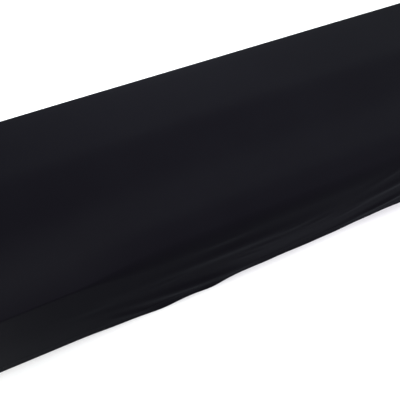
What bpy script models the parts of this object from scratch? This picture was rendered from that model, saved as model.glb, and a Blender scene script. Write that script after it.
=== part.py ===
"""Fitted dust cover for an 88-key stage piano, in thin stretch knit.

The cover is worn over the instrument, and keeps its form: a high flat stretch at the back, a soft step
down where the knit spans to the lower front, a rounded front edge, and drops to the floor all round.
The back drop, the top and the front drop are one length of knit. An end panel closes each end.

Metres, +Z up, +X along the length to the player's right, -Y towards the player. The origin is on the
underside of the top, at its middle, where the cover lies on the instrument.
"""
import math

import bmesh
import bpy

PART_NAME = "keyboard_dust_cover"

# Overall sizes. Heights in this file are above the hem, unless a name says otherwise.
LENGTH = 1.296
DEPTH = 0.390
BACK_HEIGHT = 0.170
KNIT_THICKNESS = 0.0015
SEAM_GAP = 0.0003

# The top, from back to front, by how steeply it falls: slightly crowned over the raised back, bent over
# its edge, a span that sags down to the nearly level lower front, and a bend down to the front edge. The
# slope changes evenly between rows. Over the keys nothing holds the knit up, and it falls by "fall". The
# instrument's end blocks hold it flatter, and there it falls by "end_fall".
TOP_COLUMNS = ("y", "fall", "end_fall")
TOP = (
    (0.195, -0.070, -0.020),
    (0.150, 0.020, 0.020),
    (0.050, 0.040, 0.040),
    (0.022, 0.270, 0.310),
    (-0.035, 0.240, 0.390),
    (-0.080, 0.030, 0.080),
    (-0.135, 0.010, -0.050),
    (-0.158, 0.270, 0.000),
    (-0.195, 0.310, 0.180),
)
LEFT_BLOCK_X = -0.17
RIGHT_BLOCK_X = 0.40
BLOCK_BLEND = 0.16
BACK_EDGE_RADIUS = 0.009

# The front edge is rounded, softly over the keys and sharply over the end blocks.
FRONT_EDGE_DEPTH = 0.020
FRONT_EDGE_FALL = 0.026
END_EDGE_DEPTH = 0.0025
END_EDGE_FALL = 0.0030

# The drops. The elastic of the hem draws the knit in, most where the front drop is smooth.
FRONT_TUCK = 0.0085
FRONT_TUCK_HEIGHT = 0.085
LOOSE_MIDDLE_X = -0.16
LOOSE_HALF_LENGTH = 0.18
LOOSE_SHARE = 0.75
BACK_TUCK = 0.007
BACK_TUCK_HEIGHT = 0.050
END_TUCK = 0.006
END_TUCK_HEIGHT = 0.070
HEM_RIPPLE = 0.0006
HEM_RIPPLE_LENGTH = 0.17

# The folds of the front drop, long and nearly level. Each runs along the length from its middle, fades
# over its half length, and stands out from the drop, or in where "out" is below zero.
FOLD_COLUMNS = ("middle_x", "half_length", "height", "rise", "half_width", "out")
FOLDS = (
    (-0.065, 0.060, 0.108, 0.000, 0.008, 0.0014),
    (-0.040, 0.190, 0.080, 0.000, 0.014, 0.0034),
    (0.060, 0.150, 0.060, 0.000, 0.034, 0.0022),
    (0.290, 0.120, 0.077, 0.150, 0.014, 0.0040),
    (0.270, 0.110, 0.029, 0.150, 0.010, 0.0034),
    (0.265, 0.055, 0.106, 0.250, 0.009, 0.0018),
    (-0.120, 0.140, 0.027, -0.120, 0.013, 0.0038),
    (-0.235, 0.055, 0.019, -0.250, 0.010, 0.0018),
    (-0.270, 0.042, 0.000, 0.000, 0.016, 0.0008),
    (-0.180, 0.045, 0.000, 0.000, 0.016, 0.0018),
    (-0.090, 0.040, 0.000, 0.000, 0.016, 0.0033),
    (0.020, 0.040, 0.000, 0.000, 0.018, 0.0012),
    (0.100, 0.110, 0.000, 0.000, 0.020, 0.0024),
    (0.178, 0.040, 0.000, 0.000, 0.018, 0.0010),
    (0.290, 0.050, 0.000, 0.000, 0.018, -0.0014),
    (0.560, 0.060, 0.040, -0.100, 0.016, 0.0030),
    (-0.560, 0.060, 0.045, 0.120, 0.016, 0.0030),
)

# The seam at each end draws the long panel in over a short width.
SEAM_DRAW = 0.0030
SEAM_WIDTH = 0.014

# How finely the knit is cut up.
LENGTH_STEPS = 44
SEAM_STEPS = 3
FRONT_DROP_STEPS = 14
FRONT_EDGE_STEPS = 5
TOP_STEPS = 20
BACK_EDGE_STEPS = 2
BACK_DROP_STEPS = 5
END_STEPS_ACROSS = 16
END_STEPS_UP = 8

KNIT_COLOUR = (0.012, 0.012, 0.016, 1.0)
KNIT_ROUGHNESS = 0.9

HALF_DEPTH = DEPTH / 2
HALF_PANEL = LENGTH / 2 - KNIT_THICKNESS - SEAM_GAP


def smooth_step(share):
    """0 to 1 with level ends, for a share from 0 to 1."""
    share = min(max(share, 0.0), 1.0)
    return share * share * (3 - 2 * share)


def bump(distance, half_width):
    """1 at the middle of a fold, and near 0 past its half width."""
    return math.exp(-2.0 * (distance / half_width) ** 2)


def mixed(middle, end, x):
    """A size at x, which goes from its value over the keys to its value over an end block."""
    held = smooth_step((LEFT_BLOCK_X - x) / BLOCK_BLEND) + smooth_step((x - RIGHT_BLOCK_X) / BLOCK_BLEND)
    return middle + (end - middle) * held


def top_height(x, y):
    """How high the outside of the top is: the back's height less all that the top has fallen by there."""
    height = BACK_HEIGHT
    rows = [dict(zip(TOP_COLUMNS, row)) for row in TOP]
    for back, front in zip(rows, rows[1:]):
        length = back["y"] - front["y"]
        done = min(max(back["y"] - y, 0.0), length)
        back_fall = mixed(back["fall"], back["end_fall"], x)
        front_fall = mixed(front["fall"], front["end_fall"], x)
        steeper = (front_fall - back_fall) * done / length
        height -= done * (back_fall + steeper / 2)
    return height


def front_out(x, height):
    """How far the front drop stands out from its plane: the hem's tuck, its loose middle and the folds."""
    tuck = FRONT_TUCK * (1 - LOOSE_SHARE * bump(x - LOOSE_MIDDLE_X, LOOSE_HALF_LENGTH))
    out = -tuck * max(0.0, 1 - height / FRONT_TUCK_HEIGHT) ** 2
    for row in FOLDS:
        fold = dict(zip(FOLD_COLUMNS, row))
        along = x - fold["middle_x"]
        crest = fold["height"] + fold["rise"] * along
        fade = bump(along, fold["half_length"])
        out += fold["out"] * fade * bump(height - crest, fold["half_width"])
    return out


def hem_height(x):
    """The hem is a little uneven along the front."""
    return HEM_RIPPLE * (1 + math.sin(2 * math.pi * x / HEM_RIPPLE_LENGTH))


def section(x):
    """The outside of the long panel at one place along the length, from the front hem to the back hem."""
    drawn = SEAM_DRAW * smooth_step((abs(x) - HALF_PANEL + SEAM_WIDTH) / SEAM_WIDTH)
    front_plane = -HALF_DEPTH + drawn
    back_plane = HALF_DEPTH - drawn
    edge_depth = mixed(FRONT_EDGE_DEPTH, END_EDGE_DEPTH, x)
    edge_fall = mixed(FRONT_EDGE_FALL, END_EDGE_FALL, x)
    front_row = dict(zip(TOP_COLUMNS, TOP[-1]))
    last_turn = math.atan2(edge_fall, edge_depth * mixed(front_row["fall"], front_row["end_fall"], x))
    edge_in = edge_depth * (1 - math.cos(last_turn))
    front_shoulder = top_height(x, -HALF_DEPTH + edge_in) - drawn - edge_fall * math.sin(last_turn)
    back_shoulder = top_height(x, HALF_DEPTH - BACK_EDGE_RADIUS) - drawn - BACK_EDGE_RADIUS
    bottom = hem_height(x)
    points = []
    for i in range(FRONT_DROP_STEPS):
        height = bottom + (front_shoulder - bottom) * i / FRONT_DROP_STEPS
        points.append((front_plane - front_out(x, height), height))
    for i in range(FRONT_EDGE_STEPS):
        turn = last_turn * i / FRONT_EDGE_STEPS
        height = front_shoulder + edge_fall * math.sin(turn)
        out = front_out(x, height) * math.cos(turn)
        points.append((front_plane + edge_depth * (1 - math.cos(turn)) - out, height))
    first, last = front_plane + edge_in, back_plane - BACK_EDGE_RADIUS
    for i in range(TOP_STEPS):
        y = first + (last - first) * i / TOP_STEPS
        points.append((y, top_height(x, y) - drawn))
    for i in range(BACK_EDGE_STEPS):
        turn = math.pi / 2 * i / BACK_EDGE_STEPS
        y = last + BACK_EDGE_RADIUS * math.sin(turn)
        points.append((y, back_shoulder + BACK_EDGE_RADIUS * math.cos(turn)))
    for i in range(BACK_DROP_STEPS + 1):
        height = back_shoulder * (1 - i / BACK_DROP_STEPS)
        tuck = BACK_TUCK * max(0.0, 1 - height / BACK_TUCK_HEIGHT) ** 2
        points.append((back_plane - tuck, height))
    return points


# The origin is on the underside of the top, which slopes there.
TOP_SLOPE = (top_height(0.0, 0.001) - top_height(0.0, -0.001)) / 0.002
ORIGIN_HEIGHT = top_height(0.0, 0.0) - KNIT_THICKNESS * math.hypot(1.0, TOP_SLOPE)


def length_stations():
    """Places along the length: even ones, and closer ones by the two end seams."""
    even_half = HALF_PANEL - SEAM_WIDTH
    inner = [even_half * (2 * i / LENGTH_STEPS - 1) for i in range(LENGTH_STEPS + 1)]
    outer = [even_half + SEAM_WIDTH * (i + 1) / (SEAM_STEPS + 1) for i in range(SEAM_STEPS + 1)]
    return [-x for x in reversed(outer)] + inner + outer


def shaped_grid(name, rows):
    """A grid of cloth, with its points moved to the places in rows, as a new mesh object."""
    steps_across, steps_up = len(rows[0]) - 1, len(rows) - 1
    bm = bmesh.new()
    bmesh.ops.create_grid(bm, x_segments=steps_across, y_segments=steps_up, size=0.5)
    for vert in bm.verts:
        i = round((vert.co.x + 0.5) * steps_across)
        j = round((vert.co.y + 0.5) * steps_up)
        x, y, height = rows[j][i]
        vert.co = (x, y, height - ORIGIN_HEIGHT)
    mesh = bpy.data.meshes.new(name)
    bm.to_mesh(mesh)
    bm.free()
    mesh.shade_smooth()
    return bpy.data.objects.new(name, mesh)


def give_thickness(obj):
    """The knit's thickness, inwards from its outside."""
    solidify = obj.modifiers.new("knit_thickness", "SOLIDIFY")
    solidify.thickness = KNIT_THICKNESS
    solidify.offset = -1.0
    solidify.use_even_offset = True


def knit_material(name):
    material = bpy.data.materials.new(name)
    material.use_nodes = True
    shader = material.node_tree.nodes["Principled BSDF"]
    shader.inputs["Base Color"].default_value = KNIT_COLOUR
    shader.inputs["Roughness"].default_value = KNIT_ROUGHNESS
    shader.inputs["Metallic"].default_value = 0.0
    return material


def along(points, share):
    """The place at a share of the way along a line of points."""
    lengths = [math.dist(a, b) for a, b in zip(points, points[1:])]
    left = share * sum(lengths)
    for (a, b), long in zip(zip(points, points[1:]), lengths):
        if left <= long:
            return tuple(p + (q - p) * left / long for p, q in zip(a, b))
        left -= long
    return points[-1]


def main_panel():
    """Back drop, top and front drop, hems included, in one length of knit."""
    sections = [(x, section(x)) for x in length_stations()]
    rows = [[(x, *points[j]) for x, points in sections] for j in range(len(sections[0][1]))]
    return shaped_grid("main_panel", rows)


def end_panel(name, side):
    """The panel that closes one end. Side is 1 at the right end and -1 at the left."""
    outline = section(side * HALF_PANEL)
    front_corner = FRONT_DROP_STEPS + FRONT_EDGE_STEPS // 2
    back_corner = FRONT_DROP_STEPS + FRONT_EDGE_STEPS + TOP_STEPS + BACK_EDGE_STEPS // 2
    front = outline[: front_corner + 1]
    top = outline[front_corner : back_corner + 1]
    back = outline[back_corner:][::-1]
    face = HALF_PANEL + SEAM_GAP + KNIT_THICKNESS
    rows = []
    for j in range(END_STEPS_UP + 1):
        v = j / END_STEPS_UP
        row = []
        for i in range(END_STEPS_ACROSS + 1):
            u = i / END_STEPS_ACROSS
            place = []
            for axis in (0, 1):
                chord = (1 - u) * top[0][axis] + u * top[-1][axis]
                between = (1 - u) * along(front, v)[axis] + u * along(back, v)[axis]
                place.append(between + v * (along(top, u)[axis] - chord))
            above = max(0.0, 1 - place[1] / END_TUCK_HEIGHT)
            tuck = END_TUCK * math.sin(math.pi * u) * above**2
            row.append((side * (face - tuck), *place))
        rows.append(row if side > 0 else row[::-1])
    return shaped_grid(name, rows)


def build():
    for obj in list(bpy.data.objects):
        bpy.data.objects.remove(obj, do_unlink=True)
    collection = bpy.data.collections.new(PART_NAME)
    bpy.context.scene.collection.children.link(collection)
    panels = (
        main_panel(),
        end_panel("end_panel_left", -1),
        end_panel("end_panel_right", 1),
    )
    for panel in panels:
        give_thickness(panel)
        panel.data.materials.append(knit_material(panel.name + "_knit"))
        collection.objects.link(panel)


build()
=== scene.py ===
# %% [markdown]
# # A fitted dust cover for a keyboard
#
# This notebook dresses the plain solids of a stage piano's dust cover in fine, dark stretch knit.
# The cover is worn over the instrument, so the instrument gives it its form: a raised back, a soft
# step down where the knit hangs free over the keys, a rounded front edge, and drops to the floor.
# Nothing here moves. The cloth is the whole object, so its folds and surface get all of the work.
#
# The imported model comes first. Every piece that is made below stands in for one of its nodes.

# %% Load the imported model
import math

import bpy
from mathutils import Matrix, Vector


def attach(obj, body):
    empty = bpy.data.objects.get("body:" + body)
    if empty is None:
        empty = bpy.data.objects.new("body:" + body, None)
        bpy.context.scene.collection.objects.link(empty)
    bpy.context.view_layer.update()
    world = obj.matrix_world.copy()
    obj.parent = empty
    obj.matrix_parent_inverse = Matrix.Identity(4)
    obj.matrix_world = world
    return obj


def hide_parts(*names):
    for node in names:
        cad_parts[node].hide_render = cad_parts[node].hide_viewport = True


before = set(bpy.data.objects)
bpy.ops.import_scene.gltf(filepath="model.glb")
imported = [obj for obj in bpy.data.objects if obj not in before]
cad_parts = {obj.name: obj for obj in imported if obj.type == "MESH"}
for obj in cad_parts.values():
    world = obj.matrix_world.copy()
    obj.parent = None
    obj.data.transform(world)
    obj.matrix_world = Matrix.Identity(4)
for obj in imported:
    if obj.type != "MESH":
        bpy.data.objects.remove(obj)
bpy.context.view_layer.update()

print("nodes:", sorted(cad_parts))

# %% [markdown]
# ## The sizes of the cover
#
# These are the sizes that the solids were built from, in metres. Heights are measured from the
# hem, because that is where the cover meets the floor. The knit is drawn a little thicker than it
# is, so that its edges show.

# %% Sizes
LENGTH = 1.296
DEPTH = 0.390
BACK_HEIGHT = 0.170
KNIT_THICKNESS = 0.0015
HALF_DEPTH = DEPTH / 2
BACK_EDGE_RADIUS = 0.009
FRONT_EDGE_DEPTH, END_EDGE_DEPTH = 0.020, 0.0025
FRONT_EDGE_FALL, END_EDGE_FALL = 0.026, 0.0030
print("length, depth and height in mm:", 1000 * LENGTH, 1000 * DEPTH, 1000 * BACK_HEIGHT)

# %% [markdown]
# ## The fall of the top
#
# Seen from the end, the top is nearly flat over the raised back. It bends over the back's edge,
# and then the knit spans to the lower front and sags a little on the way. A short table of slopes
# says this better than a list of heights would: the slope changes evenly from row to row, and a
# height is what is left after all of the fall so far. That gives a curve with no kinks in it, as a
# stretched knit has.
#
# Over the keys nothing holds the knit up, and it bends down early and gently. Past them the
# instrument's end blocks hold it flat, and it turns over the front edge late and sharply. So the
# table has two columns of slopes, and a share says how far each counts.

# %% How far the end blocks hold the knit
LEFT_BLOCK_X = -0.17
RIGHT_BLOCK_X = 0.40
BLOCK_BLEND = 0.16


def smooth_step(share):
    """0 to 1 with level ends, for a share from 0 to 1."""
    share = min(max(share, 0.0), 1.0)
    return share * share * (3 - 2 * share)


def mixed(middle, end, x):
    """A size at x, which goes from its value over the keys to its value over an end block."""
    held = smooth_step((LEFT_BLOCK_X - x) / BLOCK_BLEND)
    held += smooth_step((x - RIGHT_BLOCK_X) / BLOCK_BLEND)
    return middle + (end - middle) * held


# %% How high the top is
TOP_COLUMNS = ("y", "fall", "end_fall")
TOP = (
    (0.195, -0.070, -0.020),
    (0.150, 0.020, 0.020),
    (0.050, 0.040, 0.040),
    (0.022, 0.270, 0.310),
    (-0.035, 0.240, 0.390),
    (-0.080, 0.030, 0.080),
    (-0.135, 0.010, -0.050),
    (-0.158, 0.270, 0.000),
    (-0.195, 0.310, 0.180),
)


def top_height(x, y):
    """How high the outside of the top is above the hem."""
    height = BACK_HEIGHT
    rows = [dict(zip(TOP_COLUMNS, row)) for row in TOP]
    for back, front in zip(rows, rows[1:]):
        length = back["y"] - front["y"]
        done = min(max(back["y"] - y, 0.0), length)
        back_fall = mixed(back["fall"], back["end_fall"], x)
        front_fall = mixed(front["fall"], front["end_fall"], x)
        steeper = (front_fall - back_fall) * done / length
        height -= done * (back_fall + steeper / 2)
    return height


SLOPE_STEP = 0.001
TOP_SLOPE = (top_height(0.0, SLOPE_STEP) - top_height(0.0, -SLOPE_STEP)) / (2 * SLOPE_STEP)
ORIGIN_HEIGHT = top_height(0.0, 0.0) - KNIT_THICKNESS * math.hypot(1.0, TOP_SLOPE)
for label, y in (("back", 0.190), ("middle", 0.0), ("front", -0.150)):
    print("height of the top in mm,", label + ":", round(1000 * top_height(0.0, y)))

# %% [markdown]
# ## The folds of the front drop
#
# The front drop hangs loose. An elastic in the hem draws it in at the bottom, most where the drop
# is smooth, and the spare knit lies in long, nearly level folds. Each fold is a soft ridge. Its
# upper side faces the camera, and this knit is darkest there. Its lower side is seen at a lower
# angle and is lit by the white floor. So a ridge shows as a dark band over a pale one.
#
# A fold is one row of a table: where its middle is, how far it runs, how high it lies, how it
# slants, how wide it is and how far it stands out, or in where that is below zero. The big folds
# are in the solids too, with these same values.

# %% Big folds
FRONT_TUCK = 0.0085
FRONT_TUCK_HEIGHT = 0.085
LOOSE_MIDDLE_X = -0.16
LOOSE_HALF_LENGTH = 0.18
LOOSE_SHARE = 0.75
FOLD_COLUMNS = ("middle_x", "half_length", "height", "rise", "half_width", "out")
BIG_FOLDS = (
    (-0.065, 0.060, 0.108, 0.000, 0.008, 0.0014),
    (-0.040, 0.190, 0.080, 0.000, 0.014, 0.0034),
    (0.060, 0.150, 0.060, 0.000, 0.034, 0.0022),
    (0.290, 0.120, 0.077, 0.150, 0.014, 0.0040),
    (0.270, 0.110, 0.029, 0.150, 0.010, 0.0034),
    (0.265, 0.055, 0.106, 0.250, 0.009, 0.0018),
    (-0.120, 0.140, 0.027, -0.120, 0.013, 0.0038),
    (-0.235, 0.055, 0.019, -0.250, 0.010, 0.0018),
    (-0.270, 0.042, 0.000, 0.000, 0.016, 0.0008),
    (-0.180, 0.045, 0.000, 0.000, 0.016, 0.0018),
    (-0.090, 0.040, 0.000, 0.000, 0.016, 0.0033),
    (0.020, 0.040, 0.000, 0.000, 0.018, 0.0012),
    (0.100, 0.110, 0.000, 0.000, 0.020, 0.0024),
    (0.178, 0.040, 0.000, 0.000, 0.018, 0.0010),
    (0.290, 0.050, 0.000, 0.000, 0.018, -0.0014),
    (0.560, 0.060, 0.040, -0.100, 0.016, 0.0030),
    (-0.560, 0.060, 0.045, 0.120, 0.016, 0.0030),
)
print("big folds:", len(BIG_FOLDS))

# %% [markdown]
# Between the big folds the knit has small creases, a hand long and about a millimetre high. They
# are too slight for the solids, but they break up the light, and that is what makes the drop look
# like cloth.

# %% Small creases
SMALL_CREASES = (
    (0.070, 0.045, 0.074, 0.060, 0.0060, 0.0008),
    (0.125, 0.040, 0.064, 0.090, 0.0055, 0.0009),
    (0.010, 0.050, 0.058, -0.040, 0.0060, 0.0007),
    (-0.020, 0.035, 0.046, -0.120, 0.0050, 0.0007),
    (0.190, 0.040, 0.052, 0.160, 0.0055, 0.0009),
    (-0.170, 0.040, 0.064, 0.020, 0.0060, 0.0007),
    (0.090, 0.045, 0.022, 0.050, 0.0055, 0.0007),
    (-0.300, 0.050, 0.070, -0.100, 0.0080, 0.0006),
    (0.260, 0.080, 0.093, 0.150, 0.0180, 0.0011),
    (-0.275, 0.055, 0.062, -0.100, 0.0180, -0.0010),
    (-0.270, 0.045, 0.020, 0.000, 0.0140, 0.0009),
)
print("small creases:", len(SMALL_CREASES))


# %% How far the front drop stands out
def bump(distance, half_width):
    """1 at the middle of a fold, about 0.14 at its half width, and soon 0 past it."""
    return math.exp(-2.0 * (distance / half_width) ** 2)


def front_out(x, height):
    """How far the front drop stands out from its plane."""
    tuck = FRONT_TUCK * (1 - LOOSE_SHARE * bump(x - LOOSE_MIDDLE_X, LOOSE_HALF_LENGTH))
    out = -tuck * max(0.0, 1 - height / FRONT_TUCK_HEIGHT) ** 2
    for row in BIG_FOLDS + SMALL_CREASES:
        fold = dict(zip(FOLD_COLUMNS, row))
        along = x - fold["middle_x"]
        crest = fold["height"] + fold["rise"] * along
        fade = bump(along, fold["half_length"])
        out += fold["out"] * fade * bump(height - crest, fold["half_width"])
    return out


for x in (-0.4, -0.2, 0.0, 0.2, 0.4):
    print("at x", x, "the hem is in from the front by mm:", round(-1000 * front_out(x, 0.0), 1))

# %% [markdown]
# ## One section of the long panel
#
# A maker cuts the back drop, the top and the front drop as one length of knit. So the panel is
# described by its section: a line of points from the front hem, up the drop, over the rounded
# edge, along the top, over the sharper back edge and down to the back hem. At the two ends a seam
# draws this line in by 3 mm.

# %% Seams, hem and back
SEAM_DRAW = 0.0030
SEAM_WIDTH = 0.014
SEAM_GAP = 0.0003
HALF_PANEL = LENGTH / 2 - KNIT_THICKNESS - SEAM_GAP
BACK_TUCK = 0.007
BACK_TUCK_HEIGHT = 0.050
HEM_RIPPLE = 0.0006
HEM_RIPPLE_LENGTH = 0.17
FRONT_DROP_STEPS = 40
FRONT_EDGE_STEPS = 12
TOP_STEPS = 36
BACK_EDGE_STEPS = 6
BACK_DROP_STEPS = 12


def hem_height(x):
    """The hem is a little uneven along the front."""
    return HEM_RIPPLE * (1 + math.sin(2 * math.pi * x / HEM_RIPPLE_LENGTH))


# %% The section at one place along the length
def section(x):
    """The outside of the long panel at x, as (y, height), from the front hem to the back hem."""
    drawn = SEAM_DRAW * smooth_step((abs(x) - HALF_PANEL + SEAM_WIDTH) / SEAM_WIDTH)
    front_plane, back_plane = -HALF_DEPTH + drawn, HALF_DEPTH - drawn
    edge_depth = mixed(FRONT_EDGE_DEPTH, END_EDGE_DEPTH, x)
    edge_fall = mixed(FRONT_EDGE_FALL, END_EDGE_FALL, x)
    front_row = dict(zip(TOP_COLUMNS, TOP[-1]))
    front_fall = mixed(front_row["fall"], front_row["end_fall"], x)
    last_turn = math.atan2(edge_fall, edge_depth * front_fall)
    edge_in = edge_depth * (1 - math.cos(last_turn))
    front_shoulder = top_height(x, -HALF_DEPTH + edge_in) - drawn - edge_fall * math.sin(last_turn)
    back_shoulder = top_height(x, HALF_DEPTH - BACK_EDGE_RADIUS) - drawn - BACK_EDGE_RADIUS
    bottom = hem_height(x)
    points = []
    for i in range(FRONT_DROP_STEPS):
        height = bottom + (front_shoulder - bottom) * i / FRONT_DROP_STEPS
        points.append((front_plane - front_out(x, height), height))
    for i in range(FRONT_EDGE_STEPS):
        turn = last_turn * i / FRONT_EDGE_STEPS
        height = front_shoulder + edge_fall * math.sin(turn)
        out = front_out(x, height) * math.cos(turn)
        points.append((front_plane + edge_depth * (1 - math.cos(turn)) - out, height))
    first, last = front_plane + edge_in, back_plane - BACK_EDGE_RADIUS
    for i in range(TOP_STEPS):
        y = first + (last - first) * i / TOP_STEPS
        points.append((y, top_height(x, y) - drawn))
    for i in range(BACK_EDGE_STEPS):
        turn = math.pi / 2 * i / BACK_EDGE_STEPS
        y = last + BACK_EDGE_RADIUS * math.sin(turn)
        points.append((y, back_shoulder + BACK_EDGE_RADIUS * math.cos(turn)))
    for i in range(BACK_DROP_STEPS + 1):
        height = back_shoulder * (1 - i / BACK_DROP_STEPS)
        tuck = BACK_TUCK * max(0.0, 1 - height / BACK_TUCK_HEIGHT) ** 2
        points.append((back_plane - tuck, height))
    return points


def running_length(points):
    """How far along a line each of its points is."""
    lengths = [0.0]
    for a, b in zip(points, points[1:]):
        lengths.append(lengths[-1] + math.dist(a, b))
    return lengths


girth = running_length(section(0.0))[-1]
print("hem to hem over the cover in mm:", round(1000 * girth))

# %% [markdown]
# ## Shaping a flat piece of knit
#
# Each panel starts as a flat grid, which is the cut cloth on the table. Its points are then moved
# to the places where they lie on the instrument. The grid's own UV map is set to real distances on
# the cloth in metres, so that the knit's rows follow the cloth over every fold. A second map holds
# how far each point is from the nearest seam and from the nearest hem, which is all that the
# stitching needs to know.

# %% Lay a grid of cloth on the form
SMOOTH_ANGLE = math.radians(50)


def shaped_cloth(name, rows, flat_rows, edge_rows):
    """A grid of cloth with its points at the places in rows, and its two UV maps."""
    steps_across, steps_up = len(rows[0]) - 1, len(rows) - 1
    bpy.ops.object.select_all(action="DESELECT")
    bpy.ops.mesh.primitive_grid_add(x_subdivisions=steps_across, y_subdivisions=steps_up, size=1.0)
    obj = bpy.context.object
    obj.name = obj.data.name = name
    mesh = obj.data
    index = {}
    for vert in mesh.vertices:
        i = round((vert.co.x + 0.5) * steps_across)
        j = round((vert.co.y + 0.5) * steps_up)
        index[vert.index] = (i, j)
        x, y, height = rows[j][i]
        vert.co = (x, y, height - ORIGIN_HEIGHT)
    mesh.uv_layers.active.name = "cloth"
    mesh.uv_layers.new(name="edges")
    for layer, places in (("cloth", flat_rows), ("edges", edge_rows)):
        data = mesh.uv_layers[layer].data
        for loop in mesh.loops:
            i, j = index[loop.vertex_index]
            data[loop.index].uv = places[j][i]
    mesh.update()
    return obj


def give_thickness(obj):
    """Makes the cloth a closed sheet, thickened inwards, and smooth."""
    bpy.ops.object.select_all(action="DESELECT")
    obj.select_set(True)
    bpy.context.view_layer.objects.active = obj
    thick = obj.modifiers.new("knit_thickness", "SOLIDIFY")
    thick.thickness = KNIT_THICKNESS
    thick.offset = -1.0
    thick.use_even_offset = True
    bpy.ops.object.modifier_apply(modifier=thick.name)
    bpy.ops.object.shade_smooth_by_angle(angle=SMOOTH_ANGLE)
    print(obj.name, "faces:", len(obj.data.polygons))


# %% [markdown]
# ## The long panel
#
# The steps along the length are even, and closer by the two seams, where the panel is drawn in.

# %% The long panel
LENGTH_STEPS = 380
SEAM_STEPS = 6


def length_stations():
    """Places along the length: even ones, and closer ones by the two end seams."""
    even_half = HALF_PANEL - SEAM_WIDTH
    inner = [even_half * (2 * i / LENGTH_STEPS - 1) for i in range(LENGTH_STEPS + 1)]
    outer = [even_half + SEAM_WIDTH * (i + 1) / (SEAM_STEPS + 1) for i in range(SEAM_STEPS + 1)]
    return [-x for x in reversed(outer)] + inner + outer


rows, flat_rows, edge_rows = [], [], []
for x in length_stations():
    points = section(x)
    far = running_length(points)
    to_seam = HALF_PANEL - abs(x)
    rows.append([(x, *point) for point in points])
    flat_rows.append([(x, up) for up in far])
    edge_rows.append([(to_seam, min(up, far[-1] - up)) for up in far])


def turned_over(table):
    """The same table with its rows and columns changed over."""
    return [list(row) for row in zip(*table)]


main_panel = shaped_cloth(
    "main_panel_knit", turned_over(rows), turned_over(flat_rows), turned_over(edge_rows)
)
give_thickness(main_panel)

# %% [markdown]
# ## The end panels
#
# An end panel fills the outline that the long panel leaves at its end. Its inner points are
# blended from that outline, as a maker's pattern is. It turns in towards the seam, so that the two
# panels meet in a groove, and the hem's elastic draws its lower middle in.

# %% Places along an outline
END_STEPS_ACROSS = 90
END_STEPS_UP = 40
END_TUCK = 0.006
END_TUCK_HEIGHT = 0.070
SEAM_GROOVE = 0.0018
SEAM_GROOVE_WIDTH = 0.010


def along(points, share):
    """The place at a share of the way along a line of points."""
    lengths = [math.dist(a, b) for a, b in zip(points, points[1:])]
    left = share * sum(lengths)
    for (a, b), long in zip(zip(points, points[1:]), lengths):
        if left <= long:
            return tuple(p + (q - p) * left / long for p, q in zip(a, b))
        left -= long
    return points[-1]


def blended(front, back, top, u, v):
    """The place on an end panel at u from front to back and v from hem to top."""
    place = []
    for axis in (0, 1):
        chord = (1 - u) * top[0][axis] + u * top[-1][axis]
        between = (1 - u) * along(front, v)[axis] + u * along(back, v)[axis]
        place.append(between + v * (along(top, u)[axis] - chord))
    return tuple(place)


# %% The end panels
def end_panel(name, side):
    """The panel that closes one end. Side is 1 at the right end and -1 at the left."""
    outline = section(side * HALF_PANEL)
    front_corner = FRONT_DROP_STEPS + FRONT_EDGE_STEPS // 2
    back_corner = FRONT_DROP_STEPS + FRONT_EDGE_STEPS + TOP_STEPS + BACK_EDGE_STEPS // 2
    front = outline[: front_corner + 1]
    top = outline[front_corner : back_corner + 1]
    back = outline[back_corner:][::-1]
    face = HALF_PANEL + SEAM_GAP + KNIT_THICKNESS
    rows, edge_rows = [], []
    for j in range(END_STEPS_UP + 1):
        v = j / END_STEPS_UP
        row, edges = [], []
        for i in range(END_STEPS_ACROSS + 1):
            u = i / END_STEPS_ACROSS
            place = blended(front, back, top, u, v)
            above = max(0.0, 1 - place[1] / END_TUCK_HEIGHT)
            tuck = END_TUCK * math.sin(math.pi * u) * above**2
            to_seam = min(u * DEPTH, (1 - u) * DEPTH, (1 - v) * BACK_HEIGHT)
            groove = SEAM_GROOVE * (1 - smooth_step(to_seam / SEAM_GROOVE_WIDTH))
            row.append((side * (face - tuck - groove), *place))
            edges.append((to_seam, place[1]))
        rows.append(row[::side])
        edge_rows.append(edges[::side])
    flat_rows = [[(y, height) for x, y, height in row] for row in rows]
    return shaped_cloth(name, rows, flat_rows, edge_rows)


end_left = end_panel("end_panel_left_knit", -1)
end_right = end_panel("end_panel_right_knit", 1)
for panel in (end_left, end_right):
    give_thickness(panel)

# %% [markdown]
# ## The knit
#
# The cover is a fine polyester and elastane knit, dyed black. It has no shine, but its surface has
# short fibres that catch light at a low angle. So it looks darkest where it faces the eye and
# turns a soft grey towards an outline. Sheen gives this: a weak, wide sheen over a nearly black
# base. Soft clouds make that base a little uneven.
#
# A mix node has its sockets for numbers and for colours side by side, all with the same labels. So
# they are picked by their numbers, which have names here.

# %% The knit's colour and sheen
DEEP_BLACK = (0.0013, 0.0011, 0.0019, 1.0)
WORN_BLACK = (0.0018, 0.0017, 0.0026, 1.0)
CLOUD_SCALE = 7.0
CLOUD_DETAIL = 3.0
SHEEN_WEIGHT = 0.0315
SHEEN_ROUGHNESS = 0.5
SHEEN_TINT = (0.83, 0.94, 1.0, 1.0)
MIX_SHARE = 0
NUMBER_A, NUMBER_B, NUMBER_RESULT = 2, 3, 0
COLOUR_A, COLOUR_B, COLOUR_RESULT = 6, 7, 2

knit = bpy.data.materials.new("black_stretch_knit")
knit.use_nodes = True
nodes, links = knit.node_tree.nodes, knit.node_tree.links
shader = nodes["Principled BSDF"]
shader.inputs["Metallic"].default_value = 0.0
shader.inputs["Specular IOR Level"].default_value = 0.0
shader.inputs["Sheen Weight"].default_value = SHEEN_WEIGHT
shader.inputs["Sheen Roughness"].default_value = SHEEN_ROUGHNESS
shader.inputs["Sheen Tint"].default_value = SHEEN_TINT


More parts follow.
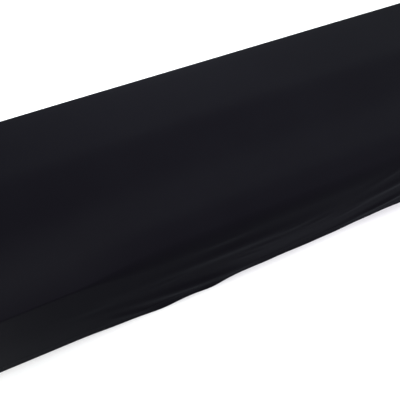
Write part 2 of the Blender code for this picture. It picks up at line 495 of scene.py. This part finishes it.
def node(kind, place, **settings):
    """A new node of the knit's material, with its settings."""
    made = nodes.new(kind)
    made.location = place
    for name, value in settings.items():
        setattr(made, name, value)
    return made


cloth_uv = node("ShaderNodeUVMap", (-1500, 0), uv_map="cloth")
places = node("ShaderNodeTexCoord", (-1500, 400))
clouds = node("ShaderNodeTexNoise", (-1100, 400))
clouds.inputs["Scale"].default_value = CLOUD_SCALE
clouds.inputs["Detail"].default_value = CLOUD_DETAIL
links.new(places.outputs["Object"], clouds.inputs["Vector"])
shade = node("ShaderNodeMix", (-300, 300), data_type="RGBA")
shade.inputs[COLOUR_A].default_value = DEEP_BLACK
shade.inputs[COLOUR_B].default_value = WORN_BLACK
links.new(clouds.outputs["Fac"], shade.inputs[MIX_SHARE])
print("material:", knit.name)

# %% [markdown]
# The knit has fine upright ribs, called wales, that run over the cover from hem to hem, and the
# rows of loops cross them. Both lie about a millimetre apart. They are waves on the cloth's own
# map, and a little noise makes them uneven. They go into the bump and, faintly, into the roughness.

# %% Wales and rows of loops
WALE_PITCH = 0.0011
ROW_PITCH = 0.0008
WALE_UNEVEN = 0.6
ROW_UNEVEN = 0.9
PITCH_AT_SCALE_1 = 0.314
ROW_SHARE = 0.4
RIB_STRENGTH = 0.25
RIB_HEIGHT = 0.0002
VALLEY_ROUGHNESS, CREST_ROUGHNESS = 0.80, 0.95


def wave(direction, pitch, uneven, place):
    """Fine lines across one direction of the cloth, at a pitch in metres."""
    made = node("ShaderNodeTexWave", place, wave_type="BANDS", bands_direction=direction)
    made.inputs["Scale"].default_value = PITCH_AT_SCALE_1 / pitch
    made.inputs["Distortion"].default_value = uneven
    made.inputs["Detail"].default_value = 1.0
    links.new(cloth_uv.outputs["UV"], made.inputs["Vector"])
    return made


wales = wave("X", WALE_PITCH, WALE_UNEVEN, (-1100, 0))
loops = wave("Y", ROW_PITCH, ROW_UNEVEN, (-1100, -300))
ribs = node("ShaderNodeMix", (-800, -150), data_type="FLOAT")
ribs.inputs[MIX_SHARE].default_value = ROW_SHARE
links.new(wales.outputs["Fac"], ribs.inputs[NUMBER_A])
links.new(loops.outputs["Fac"], ribs.inputs[NUMBER_B])
relief = node("ShaderNodeBump", (-200, -300))
relief.inputs["Strength"].default_value = RIB_STRENGTH
relief.inputs["Distance"].default_value = RIB_HEIGHT
links.new(ribs.outputs[NUMBER_RESULT], relief.inputs["Height"])
rough = node("ShaderNodeMapRange", (-500, 0))
rough.inputs["To Min"].default_value = VALLEY_ROUGHNESS
rough.inputs["To Max"].default_value = CREST_ROUGHNESS
links.new(ribs.outputs[NUMBER_RESULT], rough.inputs["Value"])
links.new(rough.outputs["Result"], shader.inputs["Roughness"])
print("wales every mm:", 1000 * WALE_PITCH, "rows every mm:", 1000 * ROW_PITCH)

# %% [markdown]
# The hem is turned in over its elastic and held by two rows of stitches from a twin needle. One
# row runs along each side of the end seams. The stitching is black like the knit, so only its
# relief and a slightly paler thread show it. That paler colour is painted sheen: it stands in for
# the shine of the thread. It is drawn from the second map: a row is a fixed distance from its
# edge, and dashes cut it into stitches. The hem's band is a little thicker, and the bump gives it
# a low step.

# %% Hem and seam stitching
HEM_BAND = 0.018
HEM_FADE = 0.0015
HEM_STEP = 0.0003
HEM_ROWS = (0.0125, 0.0155)
SEAM_ROW = 0.0045
THREAD_HALF = 0.0005
THREAD_OUT = 0.00018
STITCH_PITCH = 0.0032
STITCH_SHARE = 0.7
# Painted sheen: the thread is a little paler than the knit, which stands in for its shine.
THREAD_BLACK_WITH_PAINTED_SHEEN = (0.0030, 0.0028, 0.0036, 1.0)


def worked_out(operation, *values):
    """The result of a math node on numbers or on other nodes' outputs."""
    made = node("ShaderNodeMath", (-1100, -700), operation=operation)
    for socket, value in zip(made.inputs, values):
        if isinstance(value, float):
            socket.default_value = value
        else:
            links.new(value, socket)
    return made.outputs[0]


def faded(value, full, none):
    """1 where the value is full and 0 where it is none, with a soft step between."""
    made = node("ShaderNodeMapRange", (-900, -700), interpolation_type="SMOOTHSTEP")
    made.inputs["From Min"].default_value = none
    made.inputs["From Max"].default_value = full
    links.new(value, made.inputs["Value"])
    return made.outputs["Result"]


def stitch_row(distance, place):
    """A soft line along the cloth at one distance from an edge."""
    off_row = worked_out("ABSOLUTE", worked_out("SUBTRACT", distance, place))
    return faded(off_row, 0.0, THREAD_HALF)


edges = node("ShaderNodeSeparateXYZ", (-1300, -700))
links.new(node("ShaderNodeUVMap", (-1500, -700), uv_map="edges").outputs["UV"], edges.inputs[0])
cloth = node("ShaderNodeSeparateXYZ", (-1300, -900))
links.new(cloth_uv.outputs["UV"], cloth.inputs[0])
to_seam, to_hem = edges.outputs["X"], edges.outputs["Y"]
sideways = worked_out("ADD", cloth.outputs["X"], cloth.outputs["Y"])
within_stitch = worked_out("FRACT", worked_out("DIVIDE", sideways, STITCH_PITCH))
dashes = worked_out("LESS_THAN", within_stitch, STITCH_SHARE)
hem_rows = worked_out("ADD", *(stitch_row(to_hem, place) for place in HEM_ROWS))
all_rows = worked_out("MAXIMUM", hem_rows, stitch_row(to_seam, SEAM_ROW))
thread = worked_out("MULTIPLY", dashes, all_rows)
band = worked_out("MULTIPLY", faded(to_hem, HEM_BAND - HEM_FADE, HEM_BAND), HEM_STEP)
height_sewn = worked_out("ADD", band, worked_out("MULTIPLY", thread, THREAD_OUT))
sewn = node("ShaderNodeBump", (0, -500))
sewn.inputs["Strength"].default_value = 1.0
sewn.inputs["Distance"].default_value = 1.0
links.new(height_sewn, sewn.inputs["Height"])
links.new(relief.outputs["Normal"], sewn.inputs["Normal"])
links.new(sewn.outputs["Normal"], shader.inputs["Normal"])
# The stitches' colour: the knit's black, with the paler thread mixed in where it lies. That
# paleness is painted sheen.
thread_colour_and_sheen = node("ShaderNodeMix", (-100, 300), data_type="RGBA")
links.new(thread, thread_colour_and_sheen.inputs[MIX_SHARE])
links.new(shade.outputs[COLOUR_RESULT], thread_colour_and_sheen.inputs[COLOUR_A])
thread_colour_and_sheen.inputs[COLOUR_B].default_value = THREAD_BLACK_WITH_PAINTED_SHEEN
links.new(thread_colour_and_sheen.outputs[COLOUR_RESULT], shader.inputs["Base Color"])
print("stitches along one hem:", len(HEM_ROWS) * round(2 * HALF_PANEL / STITCH_PITCH))

# %% Put the knit on the panels
for panel in (main_panel, end_left, end_right):
    panel.data.materials.clear()
    panel.data.materials.append(knit)
print("dressed:", main_panel.name, end_left.name, end_right.name)

# %% [markdown]
# ## Attaching the pieces
#
# All three panels ride on the one body, replace their solids and are sheets of cloth. A sheet's
# flat size is what was cut: the girth of the cover by its length, and for an end, its height by
# its depth. An end's area is smaller than that, because its outline steps down to the front.

# %% Ride and replace
dressed = (
    (main_panel, "main_panel"),
    (end_left, "end_panel_left"),
    (end_right, "end_panel_right"),
)
for panel, name in dressed:
    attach(panel, "root")
    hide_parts(name)
print("main panel cut:", round(girth, 3), "by", round(2 * HALF_PANEL, 3), "m")

# %% [markdown]
# ## The floor
#
# The cover stands on a plain white sweep. The sweep glows a little by itself, like a lit table.
# Together with the lamps that makes it purely white, and keeps the shadow at the hem thin and pale.

# %% The floor
FLOOR_GAP = 0.0008
FLOOR_SIZE = 14.0
PAPER_COLOUR = (0.465, 0.485, 0.475, 1.0)
PAPER_ROUGHNESS = 0.95
GLOW_COLOUR = (0.97, 0.98, 1.0, 1.0)
GLOW_STRENGTH = 0.36

bpy.ops.object.select_all(action="DESELECT")
bpy.ops.mesh.primitive_plane_add(
    size=FLOOR_SIZE, location=(0.0, 0.0, -ORIGIN_HEIGHT - FLOOR_GAP)
)
floor = bpy.context.object
floor.name = "floor"
paper = bpy.data.materials.new("white_sweep")
paper.use_nodes = True
paper_shader = paper.node_tree.nodes["Principled BSDF"]
paper_shader.inputs["Base Color"].default_value = PAPER_COLOUR
paper_shader.inputs["Roughness"].default_value = PAPER_ROUGHNESS
paper_shader.inputs["Emission Color"].default_value = GLOW_COLOUR
paper_shader.inputs["Emission Strength"].default_value = GLOW_STRENGTH
floor.data.materials.append(paper)
print("floor at", round(floor.location.z, 4))

# %% [markdown]
# ## The camera
#
# The camera looks down at 45 degrees and along the cover from its left. Its heading, lens and
# place come from the photograph's two long edges, which meet far off at one point.

# %% The camera
HEADING = math.radians(27.97)
LOOK_DOWN = math.radians(45.0)
SENSOR = 36.0
FOCUS_IN_PIXELS = 655.6
FRAME_IN_PIXELS = 400
EYE = Vector((-0.428, -0.788, 0.892 - ORIGIN_HEIGHT))

level = Vector((math.sin(HEADING), math.cos(HEADING), 0.0))
ahead = level * math.cos(LOOK_DOWN) - Vector((0.0, 0.0, math.sin(LOOK_DOWN)))
right = Vector((math.cos(HEADING), -math.sin(HEADING), 0.0))
up = right.cross(ahead)
camera = bpy.data.objects.new("camera", bpy.data.cameras.new("camera"))
bpy.context.scene.collection.objects.link(camera)
turned = Matrix((right, up, -ahead)).transposed().to_4x4()
turned.translation = EYE
camera.matrix_world = turned
camera.data.sensor_width = SENSOR
camera.data.lens = FOCUS_IN_PIXELS / FRAME_IN_PIXELS * SENSOR
bpy.context.scene.camera = camera
print("lens in mm:", round(camera.data.lens, 1))

# %% [markdown]
# ## The light
#
# Most of the light comes from a wide soft box over the cover, so the drop is darker than the top,
# and the undersides of its folds are lit by the white floor. Two weaker boxes at the front give
# the drop its faint rosy tone. A low box behind grazes the raised back and gives its far edge a
# pale strip. Two small warm ones at the left brighten that corner of the drop and the front edge
# above it. The white room gives an even fill, and keeps the surroundings white from every side.
#
# A box's spread is in degrees. A small one keeps its light to one place.

# %% The light
WHITE = (1.0, 1.0, 1.0)
WARM = (1.0, 0.94, 0.82)
ROSE = (1.0, 0.76, 1.06)
ROOM_STRENGTH = 1.4
BOX_COLUMNS = ("name", "place", "aim", "size", "power", "colour", "spread")
BOXES = (
    ("overhead_box", (-0.05, 0.15, 0.9), (-0.05, 0.1, 0.0), (0.7, 0.9), 29.5, WHITE, 180),
    ("front_box", (0.15, -1.0, 0.0), (0.15, -0.2, -0.08), (0.8, 0.3), 3.2, ROSE, 180),
    ("front_right_box", (0.50, -0.80, 0.45), (0.3, -0.25, -0.15), (0.5, 0.4), 2.8, ROSE, 180),
    ("back_box", (-0.02, 0.75, 0.12), (-0.02, 0.16, 0.01), (0.36, 0.08), 0.28, WHITE, 50),
    ("left_box", (-0.65, -0.31, -0.07), (-0.54, -0.19, -0.07), (0.12, 0.12), 0.29, WARM, 60),
    ("far_left_box", (-0.80, -0.185, 0.12), (-0.25, -0.15, -0.03), (0.14, 0.10), 0.25, WARM, 40),
)


def soft_box(name, place, aim, size, power, colour, spread):
    """A flat soft light, turned to face the point aim."""
    lamp = bpy.data.lights.new(name, "AREA")
    lamp.shape = "RECTANGLE"
    lamp.size, lamp.size_y = size
    lamp.energy = power
    lamp.color = colour
    lamp.spread = math.radians(spread)
    box = bpy.data.objects.new(name, lamp)
    bpy.context.scene.collection.objects.link(box)
    box.location = place
    box.rotation_euler = (Vector(aim) - Vector(place)).to_track_quat("-Z", "Y").to_euler()


for row in BOXES:
    soft_box(**dict(zip(BOX_COLUMNS, row)))
room = bpy.data.worlds.new("room")
bpy.context.scene.world = room
room.use_nodes = True
background = room.node_tree.nodes["Background"]
background.inputs["Color"].default_value = (*WHITE, 1.0)
background.inputs["Strength"].default_value = ROOM_STRENGTH
bpy.context.scene.view_settings.view_transform = "Standard"
